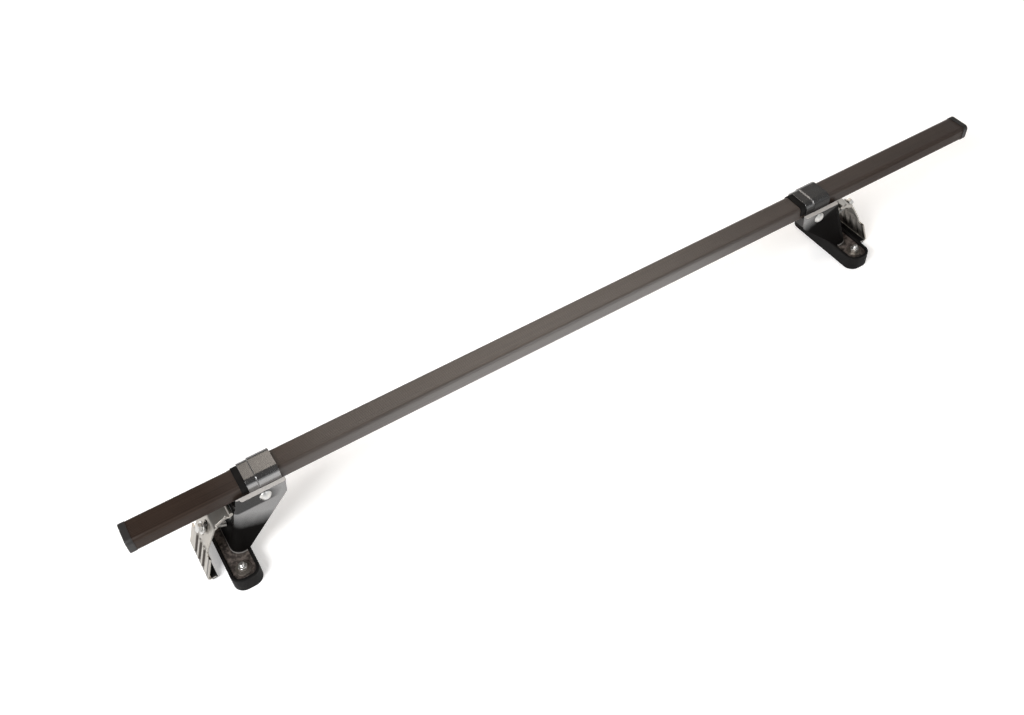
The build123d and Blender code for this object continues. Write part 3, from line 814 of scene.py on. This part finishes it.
def clip_surface(hang, way):
    """The clip's middle surface, rows along its line and columns across it. Columns inside the slot close up
    to its outline, the sides of the upper stretch turn up on a bend, ribs rise along the normal by a smooth
    step of the distance from their centre lines, and only the rows near the hook keep the wing columns."""
    line, corner = clip_line()
    length = np.concatenate([[0], np.cumsum(np.hypot(*np.diff(line, axis=0).T))])
    total = length[-1]
    knee, waist, heel = (length[np.hypot(*(line - point).T).argmin()] for point in corner[:3])

    roll_end = length[roll_rows - 1]
    slot_middle = knee / 2 + waist / 2
    shoulder = heel - wing_length
    ends = slot_half_length - slot_half_width * (1 - np.sin(slot_turn))
    fixed = np.concatenate([[0, roll_end, total, shoulder], shoulder - wing_round * wing_round_rows,
                            slot_middle + ends, slot_middle - ends])
    row = np.arange(0, total, clip_row)
    row = np.sort(np.concatenate([row[np.abs(row[:, None] - fixed).min(1) > clip_row / 2], fixed]))
    u, z = (np.interp(row, length, line[:, axis]) for axis in (0, 1))
    slope = np.stack([np.gradient(u, row), np.gradient(z, row)], -1)
    slope = slope / np.hypot(*slope.T)[:, None]
    normal = np.stack([-slope[:, 1], slope[:, 0]], -1)

    beside = np.linspace(plate_start, plate_end, plate_columns)
    inner = np.concatenate([-beside[::-1], np.linspace(-1, 1, slot_columns) * slot_half_width, beside])
    from_slot = np.abs(row - slot_middle)
    round_end = np.clip(from_slot - slot_half_length + slot_half_width, 0, slot_half_width)
    narrow = np.sqrt(1 - (round_end / slot_half_width) ** 2)
    narrow = np.maximum(narrow, np.clip((from_slot - slot_half_length) / slot_ease, 0, 1))[:, None]
    y = np.where(np.abs(inner) <= slot_half_width, inner * narrow, inner)

    up = smooth_step(row - roll_end, flange_start - flange_ramp, flange_start)
    up = up * (1 - smooth_step(row - roll_end, flange_end, flange_end + flange_ramp))
    plain = neck_half - plate_end
    fold = up[:, None] * np.pi / 2
    run = plain + up[:, None] * (flange_bend * np.pi / 2 + flange_height - flange_bend - plain)
    run = run * np.linspace(0, 1, side_columns + 1)[1:]
    arc = np.minimum(run / flange_bend, fold)
    side_y = plate_end + flange_bend * np.sin(arc) + (run - flange_bend * arc) * np.cos(arc)
    side_rise = flange_bend * (1 - np.cos(arc)) + (run - flange_bend * arc) * np.sin(arc)

    above = shoulder - row
    into_round = np.clip(wing_round - above, 0, wing_round)
    hollow = wing_round - np.sqrt(np.maximum(wing_round ** 2 - into_round ** 2, 0))
    eased = wing_round * np.clip(1 + above / wing_ease, 0, 1)
    side_y[:, -1] += np.where(above > 0, hollow, eased)
    wing = np.linspace(neck_half + wing_round + wing_first, wing_half, wing_columns)
    wing = np.broadcast_to(wing, (len(row), wing_columns))

    y = np.concatenate([-wing[:, ::-1], -side_y[:, ::-1], y, side_y, wing], 1)
    flat = np.zeros_like(inner * narrow)
    rise = np.concatenate([0 * wing, side_rise[:, ::-1], flat, side_rise, 0 * wing], 1)
    along = np.maximum(np.abs(heel - row - clip_lengths[2] / 2) - rib_half_length, 0)[:, None]
    across = np.abs(y[..., None] - rib_pitch * np.array([-1, 0, 1])).min(-1)
    rise = rise + rib_height * (1 - smooth_step(np.hypot(along, across), rib_flat, rib_foot))

    column = np.arange(y.shape[1] - 1)
    in_wing = (column < wing_columns) | (column >= len(column) - wing_columns)
    first_slot = wing_columns + side_columns + plate_columns
    in_slot = (column >= first_slot) & (column < first_slot + slot_columns - 1)
    slot_rows = np.maximum(from_slot[:-1], from_slot[1:]) < slot_half_length + row_slack
    keep = ~(in_wing & (above[:-1, None] > row_slack)) & ~(in_slot & slot_rows[:, None])
    u = u[:, None] + rise * normal[:, :1]
    z = z[:, None] + rise * normal[:, 1:]
    return np.dstack([hang[0] + way * u, y, hang[2] + z]), keep


def joint_place(name):
    """Where a joint of the frame turns, in millimetres, and its axis."""
    joint = next(joint for joint in frame["joints"] if joint["name"] == name)
    return np.array(joint["pos_m"]) / MM, np.array(joint["axis"])


def clip_paint():
    """Zinc-rich grey paint, hazy in patches. Painted shade lies along the front flank of each rib: the mask
    is a triangle wave across the clip at the ribs' pitch, kept to the ribs' own height and width."""
    finish = Finish(bpy.data.materials.new("clip_paint"), Metallic=1.0)
    peel = finish.grain(peel_size, detail=1)
    cloud = finish.grain(clip_cloud)
    across, height = finish.place("Y"), finish.place("Z")
    wave = {0: across + flank_shift * MM, 1: rib_pitch / 2 * MM}
    from_flank = finish.node("ShaderNodeMath", {"operation": "PINGPONG"}, wave)
    # Painted shade along the ribs' front flanks.
    rib_shade = finish.mask(from_flank, *rib_shade_reach) * finish.mask(across, *rib_shade_front)
    rib_shade = rib_shade * finish.mask(height, *rib_shade_top) * finish.mask(height, *rib_shade_foot)
    clean = finish.blend(cloud, clip_warm, clip_cool)
    return finish.show(Base_Color=finish.blend(rib_shade, clean, rib_shade_colour),
                       Roughness=clip_roughness + clip_haze * cloud, Normal=finish.relief(peel, peel_depth))


plate_paint = clip_paint()
for side, way in sides.items():
    hang = joint_place(side + "_clip_swing")[0]
    points, keep = clip_surface(hang, way)
    clip = piece(side + "_clip_plate", plate_paint, grid(points, keep=keep), crease=60)
    sheet = clip.modifiers.new("sheet", "SOLIDIFY")
    sheet.thickness = clip_sheet * MM
    sheet.offset = 0
    sheet.use_quality_normals = True
    round_edges(clip, clip_edge, sharp=clip_edge_angle)
    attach(clip, side + "_clip")
    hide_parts(side + "_roof_clip")

# Hook sleeves: soft black sleeves pushed over the hooks, so that they don't mark the car.
# They are cut from an extruded rubber channel.
dress([side + "_hook_sleeve" for side in sides], rubber("sleeve_rubber", moulded_edge))

# Tension bolts: each draws its clip in, through a round-backed washer in the slot, to a barrel nut behind the
# web. They are zinc plated hexagon bolts, threaded along their whole shank.
tension_shank_r = 3.0
tension_thread_pitch = 1.0
tension_head_flats = 10.0
tension_head_height = 5.0
dome_washer_r = 8.0
dome_ball = 12.0
dome_rim = 1.2
dome_low = 1.23
dome_rows = 14
seat_gap = 0.05


def dome_washer():
    """Rows of a washer whose back is part of a ball and whose face and rim are flat."""
    bore = tension_shank_r + fit_clearance
    radius = np.linspace(bore, dome_washer_r, dome_rows)
    back = dome_low + dome_ball - np.sqrt(dome_ball ** 2 - radius ** 2)
    face = back[-1] + dome_rim
    height = np.concatenate([back, [face - washer_edge, face, face]])
    return np.concatenate([radius, [dome_washer_r, dome_washer_r - washer_edge, bore]]), height


def hexagon_bolt(seat, end):
    """Rows of a hexagon bolt from the crown of its head, over its flats to the seat, and down its thread."""
    radius, height = hexagon(tension_head_flats, seat, seat + tension_head_height, tension_shank_r)
    end_radius, end_height = threaded_end(tension_shank_r, seat, end, tension_thread_pitch)
    crown = np.zeros_like(radius[:1])
    height = np.concatenate([height[-1:], height[-2:0:-1], end_height])
    return np.concatenate([crown, radius[-2:0:-1], end_radius]), height


for side in sides:
    middle, axis = joint_place(side + "_bolt_turn")
    washer_rows = dome_washer()
    low = corners(side + "_tension_bolt")[0]
    bolt_end = (low[2] - middle[2] + tension_shank_r * abs(axis[0])) / axis[2]
    bolt_rows = hexagon_bolt(washer_rows[1][-1] + seat_gap, bolt_end)
    dome = grid(turned(*washer_rows, middle, axis, fore_aft), around=True, along=True)
    bolt = grid(turned(*bolt_rows, middle, axis, fore_aft), around=True)
    fastener(side + "_round_washer", [dome], side + "_washer", side + "_dome_washer", zinc_plate)
    fastener(side + "_draw_bolt", [bolt], side + "_bolt", side + "_tension_bolt", zinc_plate)
dress([side + "_swivel_nut" for side in sides], zinc_plate)

# Studio: a plain white floor under soft panels behind, above and in front, with the main light on the left.
# The surround is white at the horizon and dark overhead, so that gloss paint keeps its blacks.
floor_half = 30.0
floor_white = (0.86, 0.86, 0.86)
floor_lift = (0.34, 0.34, 0.34)
far_lift = (0.80, 0.80, 0.80)
lift_reach = (0.9, 4.0)
unlit = (0.0, 0.0, 0.0)
horizon_white = (1.0, 1.0, 1.0)
overhead_dark = (0.09, 0.09, 0.09)
horizon_top, overhead_foot = 0.12, 0.45
panel_white = (1.0, 1.0, 1.0)
panel_warm = (1.0, 0.90, 0.80)


def floor_finish():
    """White floor: plain diffuse, lifted to white for the camera and for reflections alone, and more so with
    the distance from the object, where the lamps don't reach."""
    finish = Finish(bpy.data.materials.new("floor_white"), Roughness=0.9, Specular_IOR_Level=0.0,
                    Base_Color=(*floor_white, 1), Emission_Strength=1.0)
    path = [finish.node("ShaderNodeLightPath", {}, {}, ray + " Ray")
            for ray in ("Is Camera", "Is Glossy", "Is Transmission")]
    seen = finish.most(path[0], path[1] + path[2])
    place = finish.node("ShaderNodeTexCoord", {}, {}, "Object")
    reach = finish.node("ShaderNodeVectorMath", {"operation": "LENGTH"}, {0: place}, "Value")
    lift = finish.blend(finish.mask(reach, *lift_reach), floor_lift, far_lift)
    return finish.show(Emission_Color=finish.blend(seen, unlit, lift))


def surround():
    """The world: its colour goes from white at the horizon to dark with the height of the direction."""
    finish = Finish(bpy.data.worlds.new("surround"), "Background")
    direction = finish.node("ShaderNodeTexCoord", {}, {}, "Generated")
    height = finish.node("ShaderNodeSeparateXYZ", {}, {0: direction}, "Z")
    share = finish.mask(height, horizon_top, overhead_foot)
    return finish.show(Color=finish.blend(share, horizon_white, overhead_dark))


def panel(name, place, aim, size, power, tint):
    """A soft panel of light at a place, turned to face its aim. Its places and size are in metres."""
    lamp = bpy.data.lights.new(name, "AREA")
    lamp.shape = "RECTANGLE"
    lamp.size, lamp.size_y = size
    lamp.energy = power
    lamp.color = tint
    made = bpy.data.objects.new(name, lamp)
    back = np.array(place) - np.array(aim)
    back = back / np.linalg.norm(back)
    right = np.cross((0, 0, 1), back)
    right = right / np.linalg.norm(right)
    turn = np.eye(4)
    turn[:3] = np.column_stack([right, np.cross(back, right), back, place])
    made.matrix_world = Matrix(turn.tolist())
    bpy.context.scene.collection.objects.link(made)


floor_corners = np.array([[[-1, -1, 0], [1, -1, 0]], [[-1, 1, 0], [1, 1, 0]]], float) * floor_half / MM
floor = piece("floor", floor_finish(), grid(floor_corners))
bpy.context.scene.world = surround()
panel("back_panel", place=(0.62, 1.45, 1.95), aim=(0.62, 0, 0.12), size=(1.55, 1.0),
      power=19, tint=panel_warm)
panel("top_panel", place=(0.52, -0.15, 1.75), aim=(0, 0, 0.12), size=(0.75, 0.7),
      power=5, tint=panel_warm)
panel("back_fill", place=(-0.42, 1.45, 1.95), aim=(-0.42, 0, 0.12), size=(0.5, 1.0),
      power=0.75, tint=panel_warm)
panel("front_panel", place=(0.45, -1.2, 1.0), aim=(-0.1, 0, 0.12), size=(0.9, 0.35),
      power=4.5, tint=panel_white)
panel("left_key", place=(-2.0, -0.9, 1.9), aim=(0, 0, 0.1), size=(1.3, 1.3),
      power=75, tint=panel_white)

# Camera: at the photograph's place, looking down on the bar from the front left.
# The focal length is in pixels of the photograph's frame, and the place is in metres.
image_width = 1024
focal_pixels = 1076.99
eye = (-0.539397, -0.791406, 1.121174)
yaw, pitch, roll = np.radians([27.2965, 49.1564, 5.1196])
forward = np.array([np.sin(yaw) * np.cos(pitch), np.cos(yaw) * np.cos(pitch), -np.sin(pitch)])
level_right = np.array([np.cos(yaw), -np.sin(yaw), 0])
level_down = np.cross(forward, level_right)
right = np.cos(roll) * level_right + np.sin(roll) * level_down
down = np.cos(roll) * level_down - np.sin(roll) * level_right
stand = np.eye(4)
stand[:3] = np.column_stack([right, -down, -forward, eye])
lens = bpy.data.cameras.new("camera")
lens.sensor_width = 36.0
lens.lens = focal_pixels * lens.sensor_width / image_width
camera = bpy.data.objects.new("camera", lens)
camera.matrix_world = Matrix(stand.tolist())
bpy.context.scene.collection.objects.link(camera)
bpy.context.scene.camera = camera
bpy.context.scene.view_settings.view_transform = "Standard"
